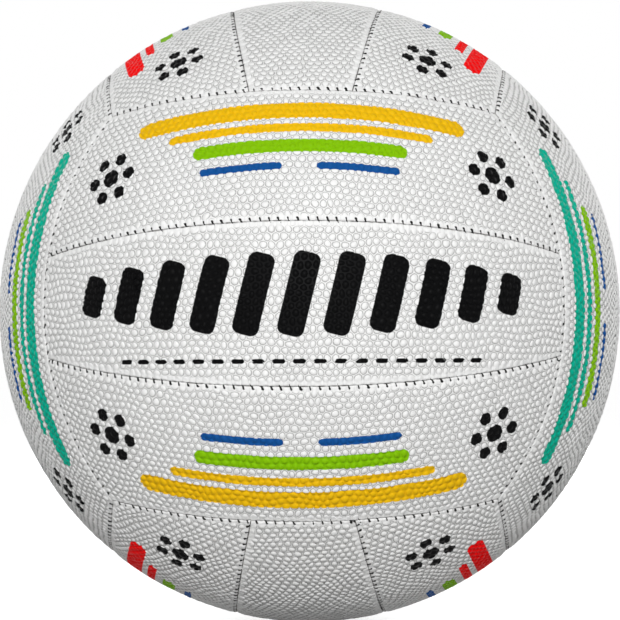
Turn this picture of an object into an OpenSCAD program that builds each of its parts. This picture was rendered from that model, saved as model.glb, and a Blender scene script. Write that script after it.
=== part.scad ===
// Eighteen-panel stitched netball with a cloth-backed rubber cover, a bladder and a self-sealing valve.
// The origin is the centre of the ball, +Z runs out through the valve, and the front face looks along -Y.
// The ball has six faces of three strips, laid out like the faces of a cube, and each face's strips run
// at right angles to those of its four neighbours.

/* [Ball] */
// Circumference of the inflated ball, measured over the panels
ball_girth = 700; // [640:5:760]

/* [Panel layout] */
// Angle that the middle strip of a face spans across, seen from the centre of the ball
middle_strip_angle = 27.2; // [25:0.2:30]
// Angle from the centre of a face to the middle of its long side
long_side_angle = 39; // [37:0.2:41]

/* [Cover] */
// Thickness of the rubber skin of a panel
skin_t = 1.2; // [0.9:0.1:1.5]
// Thickness of the cloth backing laid into a panel
backing_t = 1.4; // [1.2:0.1:2]
// Radius of the turned edge of a panel, where it rolls down into the seam
fold_r = 1.6; // [1.3:0.1:2]
// Space between the turned edges of two panels that are stitched together
seam_gap = 0.2; // [0.1:0.05:0.3]
// Film of glue left between bonded layers
glue_gap = 0.05; // [0.02:0.01:0.08]

/* [Seam cord] */
// Diameter of the waxed cord that laces the panels together
cord_d = 0.8; // [0.5:0.1:1]
// Depth of the cord's centre below the surface of the ball
cord_depth = 1.3; // [1.1:0.1:1.5]
// Clearance round the cord in its channel
cord_clearance = 0.05; // [0.03:0.01:0.1]

/* [Bladder] */
// Thickness of the bladder's rubber wall
bladder_t = 0.7; // [0.5:0.1:1.2]

/* [Valve] */
// Diameter of the valve's head, where it shows in the cover
valve_head_d = 7; // [6:0.1:9]
// Clearance between the valve's head and its holes in the cover
valve_clearance = 0.1; // [0.05:0.05:0.3]
// Depth of the head's face below the surface of the ball
valve_inset = 0.3; // [0.1:0.1:0.5]
// Diameter of the flange bonded to the bladder
valve_flange_d = 30; // [24:1:36]
// Thickness of the flange
valve_flange_t = 1; // [0.8:0.1:1.4]
// Diameter of the stem that hangs inside the bladder
valve_stem_d = 11; // [9:0.5:14]
// Length of the stem below the flange
valve_stem_length = 11; // [9:0.5:14]
// Diameter of the channel that guides an inflating needle
needle_d = 2; // [1.8:0.05:2.4]
// Length of the channel below its funnel
needle_channel_length = 6; // [5:0.5:7]
// Diameter of the funnel's mouth in the head's face
funnel_d = 3.4; // [2.8:0.1:4]
// Depth of the funnel
funnel_depth = 1; // [0.6:0.1:1.4]
// Diameter of the self-sealing core
core_d = 4.4; // [3.6:0.1:5.4]
// Thickness of the core's collar under the stem
core_collar_t = 1; // [0.6:0.1:1.6]

/* [Patches] */
// Diameter of the patch bonded inside the bladder round the valve's stem
valve_patch_d = 26; // [18:1:29]
// Thickness of the patch round the valve's stem
valve_patch_t = 0.6; // [0.4:0.1:1]
// Diameter of the patch that balances the valve on the far side of the ball
balance_patch_d = 32; // [24:1:40]
// Thickness of the balancing patch
balance_patch_t = 1.2; // [0.8:0.1:1.6]

/* [Hidden] */
$fn = 96;

// One run past a surface, for every cut that passes through it
overrun = 1;
// Where flats touch the turned edge's quarter round, in degrees down from the surface of the ball
fold_turns = [28, 55];

ball_r = ball_girth / (2 * PI);
reach = 2 * ball_r;
cover_t = skin_t + backing_t;
half_gap = seam_gap / 2;

// Each coordinate of a cube's corner, as a share of its distance from the centre
corner_share = 1 / sqrt(3);
// A long side lies on a cone round the next face. Its axis is tilted away from the strips it bounds,
// so that the cone passes through two corners of the cube and through the middle of the side.
seam_tilt = atan2(sin(long_side_angle) - corner_share, cos(long_side_angle) - corner_share);
seam_cone = 90 - long_side_angle + seam_tilt;
strip_seam_angle = middle_strip_angle / 2;
// Where the cones start and how far the flats reach down, as shares of the ball's radius
cone_start_share = 0.1;
flat_depth_share = 0.5;

// Half the sweep of the cord in a long side, up to the corner of the cube
cord_r = ball_r - cord_depth;
long_seam_half = atan(1 / (cos(seam_tilt) + sin(seam_tilt)));
long_cord_half = long_seam_half - cord_d / (cord_r * sin(seam_cone)) * 180 / PI;
// Half the sweep of the cord between two strips, up to the long side that ends them
meet_across = cos(strip_seam_angle) * cos(seam_tilt);
meet_share = cos(seam_cone) / norm([meet_across, sin(seam_tilt)]);
strip_seam_half = acos(meet_share) - atan2(sin(seam_tilt), meet_across);
strip_cord_half = strip_seam_half - cord_d / cord_r * 180 / PI;

bladder_r = ball_r - cover_t - glue_gap;
valve_top = ball_r - valve_inset;
flange_r = bladder_r - glue_gap;
seat_r = flange_r - valve_flange_t - glue_gap;
stem_hole_d = valve_stem_d + 2 * glue_gap;
stem_bottom = flange_r - valve_flange_t - valve_stem_length;
channel_bottom = valve_top - funnel_depth - needle_channel_length;
core_collar_d = (valve_stem_d + core_d) / 2;
patch_r = seat_r - bladder_t - glue_gap;
balance_seat_r = flange_r - balance_patch_t - glue_gap;

// Each face: its name, the turn that brings the front face there, and the names of its two outer strips
FACES = [
    ["front", 0, [0, 0, 1], "lower", "upper"],
    ["back", 180, [0, 0, 1], "lower", "upper"],
    ["right", -120, [1, -1, -1], "front", "rear"],
    ["left", -120, [1, 1, 1], "front", "rear"],
    ["top", -120, [1, 1, -1], "right", "left"],
    ["bottom", 120, [1, 1, 1], "left", "right"],
];
LOWER = -1;
MIDDLE = 0;
UPPER = 1;
STRIPS = [LOWER, MIDDLE, UPPER];
OUTER_STRIPS = [LOWER, UPPER];

function strip_name(face, strip) =
    str(face[0], "_", strip == MIDDLE ? "middle" : strip == LOWER ? face[3] : face[4]);
function panel_node(face, strip) = str(strip_name(face, strip), "_panel");
function backing_node(face, strip) = str(strip_name(face, strip), "_backing");
function long_cord_node(face, strip) = str(strip_name(face, strip), "_edge_cord");
function strip_cords_node(face) = str(face[0], "_strip_cords");

module on_face(face) {
    rotate(a = face[1], v = face[2]) children();
}

// The lower half of the front face mirrors the upper one
module on_side(strip) {
    mirror([0, 0, strip == LOWER ? 1 : 0]) children();
}

// The three kinds of seam of the front face, each set on the Z axis of its child
module at_strip_seam() {
    rotate([-strip_seam_angle, 0, 0]) children();
}
module at_long_side() {
    rotate([-seam_tilt, 0, 0]) children();
}
module at_end(side) {
    rotate([90, 0, side * seam_tilt]) children();
}

module shell(outer_r, inner_r) {
    difference() {
        sphere(outer_r);
        sphere(inner_r);
    }
}

// All that a long side's cone holds, with its surface moved out by grow and its point cut off
module seam_cone_solid(grow) {
    point = -grow / sin(seam_cone);
    start = cone_start_share * ball_r;
    translate([0, 0, start]) cylinder(
        h = reach,
        r1 = (start - point) * tan(seam_cone),
        r2 = (start + reach - point) * tan(seam_cone)
    );
}

// All that lies above or below the strip seam's plane, with its face moved away by inset
module above_strip_seam(inset) {
    at_strip_seam() translate([-reach, -reach, inset]) cube([2 * reach, reach, reach]);
}
module below_strip_seam(inset) {
    at_strip_seam() translate([-reach, -reach, -reach - inset]) cube([2 * reach, reach, reach]);
}

// The front face between the long sides that end its strips
module between_ends(inset) {
    intersection_for (side = [-1, 1]) at_end(side) seam_cone_solid(-inset);
}

// All the space over one strip of the front face, drawn in from its seams by inset
module strip_space(strip, inset) {
    if (strip == MIDDLE) {
        intersection() {
            between_ends(inset);
            intersection_for (side = OUTER_STRIPS) on_side(-side) below_strip_seam(inset);
        }
    } else {
        on_side(strip) difference() {
            intersection() {
                between_ends(inset);
                above_strip_seam(inset);
            }
            at_long_side() seam_cone_solid(inset);
        }
    }
}

// All that lies within one flat of a turned edge. The seam lies on a cone round the Z axis, and inward is
// 1 for a panel inside that cone and -1 for one outside it.
module edge_flat(cone, turn, inward) {
    lean = cone - inward * (90 - turn);
    out = ball_r - fold_r * (1 - cos(turn));
    aside = inward * fold_r * (1 - sin(turn));
    touch_r = out * sin(cone) - aside * cos(cone);
    touch_z = out * cos(cone) + aside * sin(cone);
    low = inward > 0 ? 0 : -flat_depth_share * ball_r;
    high = inward > 0 ? reach : touch_z - touch_r / tan(lean) - overrun;
    translate([0, 0, low]) cylinder(
        h = high - low,
        r1 = touch_r + (low - touch_z) * tan(lean),
        r2 = touch_r + (high - touch_z) * tan(lean)
    );
}

// A strip of the front face, cut along one flat of each of its turned edges
module turn_edges(strip, turn) {
    intersection() {
        turn_sides(strip, turn) children();
        at_end(1) edge_flat(seam_cone, turn, 1);
        at_end(-1) edge_flat(seam_cone, turn, 1);
    }
}
module turn_sides(strip, turn) {
    if (strip == MIDDLE) {
        intersection() {
            children();
            rotate([strip_seam_angle, 0, 0]) edge_flat(90, turn, 1);
            mirror([0, 0, 1]) rotate([strip_seam_angle, 0, 0]) edge_flat(90, turn, 1);
        }
    } else {
        intersection() {
            children();
            on_side(strip) at_strip_seam() edge_flat(90, turn, 1);
            on_side(strip) at_long_side() edge_flat(seam_cone, turn, -1);
        }
    }
}

// A shallow tray: the outer wall of one strip, its edges turned in, and the cord's groove in them
module tray(strip) {
    groove_r = cord_d / 2 + cord_clearance;
    difference() {
        intersection() {
            shell(ball_r, ball_r - cover_t);
            strip_space(strip, half_gap);
        }
        intersection() {
            shell(ball_r - skin_t, ball_r - cover_t - overrun);
            strip_space(strip, half_gap + skin_t);
        }
        difference() {
            shell(cord_r + groove_r, cord_r - groove_r);
            strip_space(strip, groove_r);
        }
    }
}

// The valve's head comes out through the top middle strip
module valve_hole(face, strip) {
    if (face[0] == "top" && strip == MIDDLE)
        cylinder(h = reach, r = valve_head_d / 2 + valve_clearance);
}

// Rubber skin of one strip
module panel(face, strip) {
    color([0.9, 0.9, 0.9]) difference() {
        on_face(face) turn_edges(strip, fold_turns[0]) turn_edges(strip, fold_turns[1]) tray(strip);
        valve_hole(face, strip);
    }
}

// Cloth laid into the tray of one strip
module backing(face, strip) {
    color([0.82, 0.78, 0.68]) difference() {
        on_face(face) intersection() {
            shell(ball_r - skin_t - glue_gap, ball_r - cover_t);
            strip_space(strip, half_gap + skin_t + glue_gap);
        }
        valve_hole(face, strip);
    }
}

// A length of cord round the Z axis, centred on the strip's middle
module cord_arc(cone, half_sweep) {
    rotate([0, 0, -90 - half_sweep]) rotate_extrude(angle = 2 * half_sweep)
        rotate(90 - cone) translate([cord_r, 0]) circle(d = cord_d);
}

// Cord in one long side of a face
module long_cord(face, strip) {
    color([0.75, 0.72, 0.64]) on_face(face) on_side(strip) at_long_side()
        cord_arc(seam_cone, long_cord_half);
}

// The two cords between the three strips of a face
module strip_cords(face) {
    color([0.75, 0.72, 0.64]) on_face(face) for (side = OUTER_STRIPS)
        on_side(side) at_strip_seam() cord_arc(90, strip_cord_half);
}

// A disc bent to the ball, between two radii, round the Z axis
module bent_disc(d, outer_r, inner_r) {
    intersection() {
        shell(outer_r, inner_r);
        cylinder(h = reach, d = d);
    }
}

// Air-tight bladder, pressed in over the valve's flange and over the balancing patch
module bladder() {
    flange_seat_d = valve_flange_d + 2 * glue_gap;
    balance_seat_d = balance_patch_d + 2 * glue_gap;
    color([0.12, 0.12, 0.12]) difference() {
        sphere(bladder_r);
        difference() {
            sphere(bladder_r - bladder_t);
            bent_disc(flange_seat_d + 2 * bladder_t, bladder_r, seat_r - bladder_t);
            mirror([0, 0, 1])
                bent_disc(balance_seat_d + 2 * bladder_t, bladder_r, balance_seat_r - bladder_t);
        }
        bent_disc(flange_seat_d, ball_r, seat_r);
        mirror([0, 0, 1]) bent_disc(balance_seat_d, ball_r, balance_seat_r);
        cylinder(h = reach, d = stem_hole_d);
    }
}

// Rubber valve: a head flush with the cover, a flange on the bladder and a stem that holds the core
module valve_body() {
    color([0.08, 0.08, 0.08]) difference() {
        union() {
            bent_disc(valve_flange_d, flange_r, flange_r - valve_flange_t);
            translate([0, 0, bladder_r - valve_flange_t])
                cylinder(h = valve_top - bladder_r + valve_flange_t, d = valve_head_d);
            translate([0, 0, stem_bottom])
                cylinder(h = valve_stem_length + valve_flange_t / 2, d = valve_stem_d);
        }
        translate([0, 0, valve_top - funnel_depth])
            cylinder(h = funnel_depth, d1 = needle_d, d2 = funnel_d);
        translate([0, 0, channel_bottom - overrun])
            cylinder(h = needle_channel_length + overrun, d = needle_d);
        translate([0, 0, stem_bottom - overrun])
            cylinder(h = channel_bottom - stem_bottom + overrun, r = core_d / 2 + glue_gap);
    }
}

// Soft plug that lets a needle through and closes behind it
module valve_core() {
    color([0.45, 0.12, 0.1]) {
        translate([0, 0, stem_bottom - glue_gap])
            cylinder(h = channel_bottom - stem_bottom, d = core_d);
        translate([0, 0, stem_bottom - glue_gap - core_collar_t])
            cylinder(h = core_collar_t, d = core_collar_d);
    }
}

// Ring that holds the bladder's rubber round the stem
module valve_patch() {
    color([0.2, 0.2, 0.2]) difference() {
        bent_disc(valve_patch_d, patch_r, patch_r - valve_patch_t);
        cylinder(h = reach, d = stem_hole_d);
    }
}

// Counterweight to the valve, between the bladder and the bottom middle strip
module balance_patch() {
    color([0.2, 0.2, 0.2]) mirror([0, 0, 1])
        bent_disc(balance_patch_d, flange_r, flange_r - balance_patch_t);
}

for (face = FACES) for (strip = STRIPS) {
    panel(face, strip);
    backing(face, strip);
}
for (face = FACES) for (strip = OUTER_STRIPS) {
    long_cord(face, strip);
}
for (face = FACES) {
    strip_cords(face);
}
bladder();
valve_body();
valve_core();
valve_patch();
balance_patch();
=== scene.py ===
# %% [markdown]
# # A stitched netball
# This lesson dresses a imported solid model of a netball. The real ball is eighteen strips of
# pimpled rubber on cloth, sewn from the inside with waxed cord over an air-tight bladder.
# The solids of the backings, bladder, valve and patches stay. The strips and the cords are
# modelled again here, because their looks are in detail too fine for the solid model.

# %% Load the fixed frame
import math

import bmesh
import bpy
import numpy as np
from mathutils import Matrix, Vector


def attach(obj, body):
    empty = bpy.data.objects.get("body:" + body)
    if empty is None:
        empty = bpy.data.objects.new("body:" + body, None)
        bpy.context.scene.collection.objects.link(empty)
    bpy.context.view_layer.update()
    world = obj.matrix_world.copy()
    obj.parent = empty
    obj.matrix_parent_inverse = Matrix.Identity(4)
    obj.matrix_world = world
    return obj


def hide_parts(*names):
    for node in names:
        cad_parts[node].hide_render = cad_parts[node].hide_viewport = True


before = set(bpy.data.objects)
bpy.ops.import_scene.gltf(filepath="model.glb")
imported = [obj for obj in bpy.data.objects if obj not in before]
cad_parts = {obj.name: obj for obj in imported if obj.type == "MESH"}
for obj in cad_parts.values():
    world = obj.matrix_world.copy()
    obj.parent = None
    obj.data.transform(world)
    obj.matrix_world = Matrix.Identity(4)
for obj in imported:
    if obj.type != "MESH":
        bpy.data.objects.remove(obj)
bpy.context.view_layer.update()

MM = 0.001
BALL_R = 700 * MM / (2 * math.pi)
print("ball radius in mm:", round(BALL_R / MM, 3))

# %% [markdown]
# ## How the cover is laid out
# Each of six faces carries three strips side by side, and each face's strips run at right
# angles to its neighbours'. Two strip seams part the three strips of a face. The outer side
# of each outer strip is a long seam, which runs across the ends of the next face's strips.
# All 24 seams are circles on the ball, and a circle needs only its axis and the angle from
# that axis. Strip seams are great circles, whose angle is 90 degrees.

# %% The seam circles of one face
STRIP_EDGE = math.radians(27.2 / 2)
LONG_EDGE = math.radians(39)
CORNER = np.array((1, -1, 1)) / math.sqrt(3)

seam_tilt = math.atan2(math.sin(LONG_EDGE) - CORNER[2], math.cos(LONG_EDGE) - CORNER[2])
LONG_POLAR = math.pi / 2 - LONG_EDGE + seam_tilt
STRIP_AXIS = np.array((0, math.sin(STRIP_EDGE), math.cos(STRIP_EDGE)))
STRIP_MIDDLE = np.array((0, -math.cos(STRIP_EDGE), math.sin(STRIP_EDGE)))
LONG_AXIS = np.array((0, math.sin(seam_tilt), math.cos(seam_tilt)))
LONG_MIDDLE = np.array((0, -math.cos(LONG_EDGE), math.sin(LONG_EDGE)))
END_AXES = [np.array((s * math.sin(seam_tilt), -math.cos(seam_tilt), 0)) for s in (1, -1)]
print("long seams lie", round(math.degrees(LONG_POLAR), 2), "degrees from their axes")


def turn(degrees, axis):
    """A turn about an axis as a 3 x 3 array."""
    return np.array(Matrix.Rotation(math.radians(degrees), 3, Vector(axis)))


FACES = {
    "front": turn(0, (0, 0, 1)),
    "back": turn(180, (0, 0, 1)),
    "right": turn(-120, (1, -1, -1)),
    "left": turn(-120, (1, 1, 1)),
    "top": turn(-120, (1, 1, -1)),
    "bottom": turn(120, (1, 1, 1)),
}
OUTER_NAMES = {
    "front": ("lower", "upper"),
    "back": ("lower", "upper"),
    "right": ("front", "rear"),
    "left": ("front", "rear"),
    "top": ("right", "left"),
    "bottom": ("left", "right"),
}
HALF_TURNS = (np.diag((-1.0, 1.0, -1.0)), np.eye(3))

# %% [markdown]
# ## A seam's own coordinates
# On each seam, s runs along it from its middle and t runs across it, both in metres. The
# cords and the needle holes are laid out in s and t, and so the strips on both sides of a
# seam agree on where every stitch is.

# %% The table of seams, with the place of every stitch
STITCH_PITCH = 3.05 * MM
STITCH_MARGIN = 2.2 * MM
# No two stitches are alike. These are the spans of how far one strays along its seam, how
# hard it is pulled and how much further than the others it leans.
STRAY_MM = (-0.16, 0.16)
PULL = (0.45, 1.2)
EXTRA_LEAN_MM = (-0.1, 0.25)
rng = np.random.default_rng(18)


def seam_frame(axis, middle):
    """Two unit vectors across the axis: towards the seam's middle, and along it."""
    towards = middle - axis * (middle @ axis)
    towards = towards / np.linalg.norm(towards)
    return towards, np.cross(axis, towards)


def half_angle(axis, middle, end):
    towards, along = seam_frame(axis, middle)
    return abs(math.atan2(end @ along, end @ towards))


def strip_seam_end():
    """Where a strip seam meets the circle at the strips' end."""
    a = math.cos(seam_tilt) * math.cos(STRIP_EDGE)
    b = math.sin(seam_tilt)
    angle = math.acos(math.cos(LONG_POLAR) / math.hypot(a, b)) - math.atan2(b, a)
    return math.cos(angle) * STRIP_MIDDLE + math.sin(angle) * np.array((1.0, 0, 0))


def make_seam(name, base, axis, polar, middle, end):
    reach = half_angle(axis, middle, end) * math.sin(polar) * BALL_R
    count = int((2 * reach - 2 * STITCH_MARGIN) / STITCH_PITCH) + 1
    places = (np.arange(count) - (count - 1) / 2) * STITCH_PITCH
    towards, along = seam_frame(base @ axis, base @ middle)
    return {
        "name": name, "axis": base @ axis, "polar": polar, "towards": towards, "along": along,
        "reach": reach, "stitch": places + rng.uniform(*STRAY_MM, count) * MM,
        "pull": rng.uniform(*PULL, count), "lean": rng.uniform(*EXTRA_LEAN_MM, count) * MM,
    }


seams = []
for face, base_turn in FACES.items():
    for half, side_name in zip(HALF_TURNS, OUTER_NAMES[face]):
        base = base_turn @ half
        seams.append(make_seam(f"{face}_{side_name}_strip", base, STRIP_AXIS, math.pi / 2,
                               STRIP_MIDDLE, strip_seam_end()))
        seams.append(make_seam(f"{face}_{side_name}_edge", base, LONG_AXIS, LONG_POLAR,
                               LONG_MIDDLE, CORNER))
print(len(seams), "seams with", sum(len(s["stitch"]) for s in seams), "stitches")
for s in seams[:2]:
    print(s["name"], "is", round(2 * s["reach"] / MM, 1), "mm long")


def seam_st(unit, seam):
    """s and t of unit directions, a row each."""
    polar = np.arccos(np.clip(unit @ seam["axis"], -1, 1))
    turned = np.arctan2(unit @ seam["along"], unit @ seam["towards"])
    return turned * math.sin(seam["polar"]) * BALL_R, (seam["polar"] - polar) * BALL_R


def on_seam(s, t, seam):
    """Unit directions of points at s along and t across a seam."""
    polar = seam["polar"] - t / BALL_R
    turned = s / (math.sin(seam["polar"]) * BALL_R)
    ring = np.cos(turned)[:, None] * seam["towards"] + np.sin(turned)[:, None] * seam["along"]
    return np.cos(polar)[:, None] * seam["axis"] + np.sin(polar)[:, None] * ring


# %% [markdown]
# ## Small helpers for working by hand in code
# An operator acts on everything that is selected, so each step starts by selecting one
# object alone. What repeats is modelled once and copied, each copy with its own mesh.
# Vertex positions are read and written as arrays, which is quick even for tens of
# thousands of points.

# %% Selection, copies and arrays
def alone(obj):
    if bpy.context.object and bpy.context.object.mode != "OBJECT":
        bpy.ops.object.mode_set(mode="OBJECT")
    bpy.ops.object.select_all(action="DESELECT")
    obj.select_set(True)
    bpy.context.view_layer.objects.active = obj


def edit(obj, mode="VERT"):
    alone(obj)
    bpy.ops.object.mode_set(mode="EDIT")
    bpy.ops.mesh.select_mode(type=mode)


def own_copy(obj, name):
    made = obj.copy()
    made.data = obj.data.copy()
    made.name = name
    bpy.context.scene.collection.objects.link(made)
    return made


def points_of(obj):
    flat = np.empty(3 * len(obj.data.vertices), np.float32)
    obj.data.vertices.foreach_get("co", flat)
    return flat.reshape(-1, 3).astype(float)


def set_points(obj, points):
    obj.data.vertices.foreach_set("co", np.asarray(points, np.float32).ravel())
    obj.data.update()


def set_attribute(obj, name, values):
    layer = obj.data.attributes.get(name) or obj.data.attributes.new(name, "FLOAT", "POINT")
    layer.data.foreach_set("value", np.asarray(values, np.float32))


def get_attribute(obj, name):
    values = np.empty(len(obj.data.vertices), np.float32)
    obj.data.attributes[name].data.foreach_get("value", values)
    return values.astype(float)


# %% Modifiers and small sums
def apply_modifier(obj, kind, **settings):
    alone(obj)
    modifier = obj.modifiers.new(kind.lower(), kind)
    for key, value in settings.items():
        setattr(modifier, key, value)
    bpy.ops.object.modifier_apply(modifier=modifier.name)


def unit(points):
    return points / np.linalg.norm(points, axis=1)[:, None]


def smooth_step(x, low, high):
    k = np.clip((x - low) / (high - low), 0, 1)
    return k * k * (3 - 2 * k)


print("a smooth step has risen to", smooth_step(0.25, 0, 1), "after a quarter of its way")

# %% [markdown]
# ## One pimple
# The rubber's grip is a field of small round domes, packed like a honeycomb. A bump texture
# could fake them, but they shade each other and show on the ball's outline, so they are
# modelled. One dome stands on one six-sided tile: a disc is inset and raised for the dome,
# and a hexagon round it is bridged to its foot. The edges of the foot are marked sharp, so
# that each dome stands out crisply. The tile has few faces, because the ball carries about
# 27,000 of them.

# %% The pimple tile
PIMPLE_PITCH = 2.6 * MM
PIMPLE_H = 0.52 * MM
PIMPLE_FOOT_R = 1.15 * MM
SHOULDER_INSET = 0.30 * MM
SHOULDER_SHARE = 0.85
DOME_SIDES = 8


def pimple_tile():
    bpy.ops.object.select_all(action="DESELECT")
    bpy.ops.mesh.primitive_circle_add(vertices=DOME_SIDES, radius=PIMPLE_FOOT_R,
                                      fill_type="TRIFAN", location=(0, 0, 0))
    tile = bpy.context.object
    bpy.ops.object.mode_set(mode="EDIT")
    bpy.ops.mesh.select_all(action="SELECT")
    bpy.ops.mesh.inset(thickness=SHOULDER_INSET, depth=PIMPLE_H * SHOULDER_SHARE)
    bpy.ops.mesh.select_mode(type="EDGE")
    bpy.ops.mesh.select_non_manifold(extend=False)
    bpy.ops.mesh.mark_sharp()
    bpy.ops.mesh.select_all(action="DESELECT")
    bpy.ops.mesh.primitive_circle_add(vertices=6, radius=PIMPLE_PITCH / math.sqrt(3),
                                      fill_type="NOTHING", location=(0, 0, 0))
    bpy.ops.mesh.select_mode(type="EDGE")
    bpy.ops.mesh.select_non_manifold(extend=False)
    bpy.ops.mesh.bridge_edge_loops()
    bpy.ops.mesh.select_all(action="SELECT")
    bpy.ops.mesh.normals_make_consistent(inside=False)
    bpy.ops.object.mode_set(mode="OBJECT")
    points = points_of(tile)
    away = np.hypot(points[:, 0], points[:, 1])
    close = PIMPLE_FOOT_R / 10
    points[away < close, 2] = PIMPLE_H
    set_points(tile, points)
    set_attribute(tile, "relief", points[:, 2] / PIMPLE_H)
    # The foot ring is marked for a painted shade, which darkens the rubber round each dome.
    set_attribute(tile, "crease_shade", abs(away - PIMPLE_FOOT_R) < close)
    return tile


tile = pimple_tile()
print("a pimple tile has", len(tile.data.polygons), "faces,",
      sum(len(p.vertices) - 2 for p in tile.data.polygons), "triangles")

# %% [markdown]
# ## A flat sheet of pimpled rubber
# Three Array modifiers lay the tile in staggered rows, as the mould does, and the doubled
# points between tiles are merged. The sheet is turned, because strips are cut from the real
# rubber at different angles to its rows, and then trimmed with bisect. The rows run across
# the strips at the top and bottom, give or take three degrees, and along all the others.

# %% The flat sheets
SHEET_LENGTH = 226 * MM
SHEET_WIDTH = 70 * MM
ROW_TURNS = {"along": 0, "across": math.radians(-27)}
WELD = 0.004 * MM


def bisect(obj, point, normal, keep_front):
    edit(obj)
    bpy.ops.mesh.select_all(action="SELECT")
    bpy.ops.mesh.bisect(plane_co=point, plane_no=normal, clear_inner=keep_front,
                        clear_outer=not keep_front, threshold=WELD / 4)
    bpy.ops.object.mode_set(mode="OBJECT")


def rubber_sheet(name, row_turn):
    rubber = own_copy(tile, f"rubber_{name}")
    row = PIMPLE_PITCH * math.sqrt(3) / 2
    wide = SHEET_LENGTH * math.cos(row_turn) + SHEET_WIDTH * abs(math.sin(row_turn))
    high = SHEET_LENGTH * abs(math.sin(row_turn)) + SHEET_WIDTH * math.cos(row_turn)
    columns = int(wide / PIMPLE_PITCH) + 2
    pairs = int(high / row / 2) + 2
    common = {"use_relative_offset": False, "use_constant_offset": True,
              "use_merge_vertices": False}
    apply_modifier(rubber, "ARRAY", count=2,
                   constant_offset_displace=(PIMPLE_PITCH / 2, row, 0), **common)
    apply_modifier(rubber, "ARRAY", count=columns,
                   constant_offset_displace=(PIMPLE_PITCH, 0, 0), **common)
    apply_modifier(rubber, "ARRAY", count=pairs, constant_offset_displace=(0, 2 * row, 0),
                   **common)
    edit(rubber)
    bpy.ops.mesh.select_all(action="SELECT")
    bpy.ops.mesh.remove_doubles(threshold=WELD)
    bpy.ops.object.mode_set(mode="OBJECT")
    points = points_of(rubber)
    points[:, :2] -= (points[:, :2].max(0) + points[:, :2].min(0)) / 2
    c, s = math.cos(row_turn), math.sin(row_turn)
    points[:, :2] = points[:, :2] @ np.array(((c, s), (-s, c)))
    set_points(rubber, points)
    for sign in (1, -1):
        bisect(rubber, (sign * SHEET_LENGTH / 2, 0, 0), (-sign, 0, 0), True)
        bisect(rubber, (0, sign * SHEET_WIDTH / 2, 0), (0, -sign, 0), True)
    return rubber


sheets = {name: rubber_sheet(name, row_turn) for name, row_turn in ROW_TURNS.items()}
bpy.data.objects.remove(tile)
print("the flat sheets have", [len(s.data.vertices) for s in sheets.values()], "points")

# %% [markdown]
# ## The shape of a strip's surface
# A strip is flat ground with pimples on it. Near a seam the rubber rolls down into the
# joint and the pimples are pressed flatter. Each stitch pulls a pit at its needle holes and
# a furrow across the seam, and the rubber swells a little between two stitches. All of this
# could be sculpted. Here it is a height worked out for every point, so that the two strips
# of a seam fit each other and the stitches between them.

# %% What a stitch does to the rubber
HOLE_T = 0.9 * MM
FAR_HOLE_T = -0.85 * MM
STITCH_LEAN = 0.36 * MM
PIT_DEPTH = 0.34 * MM
FAR_PIT_DEPTH = 0.16 * MM
FURROW_DEPTH = 0.16 * MM
SWELL = 0.1 * MM
PIT_R = 0.36 * MM
FURROW_R = 0.24 * MM
FURROW_END = (0.6 * MM, 1.1 * MM)
SWELL_T = 0.75 * MM
SWELL_R = 0.45 * MM
STITCH_REACH = 3 * MM


def between_stitches(turned):
    """0 at a stitch and 1 halfway to the next, for places in turns of the stitching."""
    return 0.5 - 0.5 * np.cos(turned)


def stitch_dent(directions, seam):
    """How far the stitches of a seam pull the rubber in, and let it swell between them."""
    s, t = seam_st(directions, seam)
    count = len(seam["stitch"])
    i = np.clip(np.rint(s / STITCH_PITCH + (count - 1) / 2).astype(int), 0, count - 1)
    along = s - seam["stitch"][i]
    pull = seam["pull"][i]
    lean = STITCH_LEAN + seam["lean"][i]
    pit = np.exp(-((along + lean) ** 2 + (t - HOLE_T) ** 2) / PIT_R ** 2)
    far_pit = np.exp(-((along - lean) ** 2 + (t - FAR_HOLE_T) ** 2) / PIT_R ** 2)
    line = along + lean * t / HOLE_T
    furrow = np.exp(-(line / FURROW_R) ** 2) * (1 - smooth_step(abs(t), *FURROW_END))
    between = between_stitches(2 * math.pi * along / STITCH_PITCH)
    hump = np.exp(-((abs(t) - SWELL_T) / SWELL_R) ** 2)
    near = (abs(t) < STITCH_REACH) & (abs(s) < seam["reach"] + MM)
    dent = (PIT_DEPTH * pit + FAR_PIT_DEPTH * far_pit + FURROW_DEPTH * furrow) * pull
    return np.where(near, dent - SWELL * between * hump, 0)


deepest = PIT_DEPTH * max(s["pull"].max() for s in seams)
print("the deepest needle pit is", round(deepest / MM, 2), "mm")

# %% The height of a strip's surface
GROUND_R = BALL_R - PIMPLE_H
ROLL_R = 1.0 * MM
ROLL_SHARES = (0.5, 0.35, 0.15)
ROLL_WAVES = (4 * MM, 7 * MM)
PRESSED_SHARE = 0.42
PRESSED = (0.8 * MM, 2.3 * MM)
MEAN_RISE = 0.86
RISE_SPAN = (0.5, 1.0)
QUICK_RISE = 0.11
SLOW_RISE = 0.06
# Radians per mm along x, y and z of each wave in the pimples' heights
QUICK_WAVES = ((1.9, 0.7, 0), (0, 2.1, -0.9), (1.1, 0, 1.7))
SLOW_WAVES = ((0.13, 0.21, 0), (-0.11, 0, 0.19))


def side_distances(directions, sides):
    """How far inside each of its sides a point lies, a column each."""
    return np.stack([sign * seam_st(directions, seam)[1] for seam, sign in sides], 1)


def roll_radius(directions, sides):
    """How wide the rubber rolls over at the nearest seam: wider between two stitches."""
    st = [seam_st(directions, seam) for seam, sign in sides]
    s = np.choose(abs(np.array([t for s, t in st])).argmin(0), [s for s, t in st])
    between = between_stitches(2 * math.pi * s / STITCH_PITCH + np.sin(s / ROLL_WAVES[0]))
    least, fuller, waved = ROLL_SHARES
    return ROLL_R * (least + fuller * between + waved * np.sin(s / ROLL_WAVES[1]))


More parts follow.
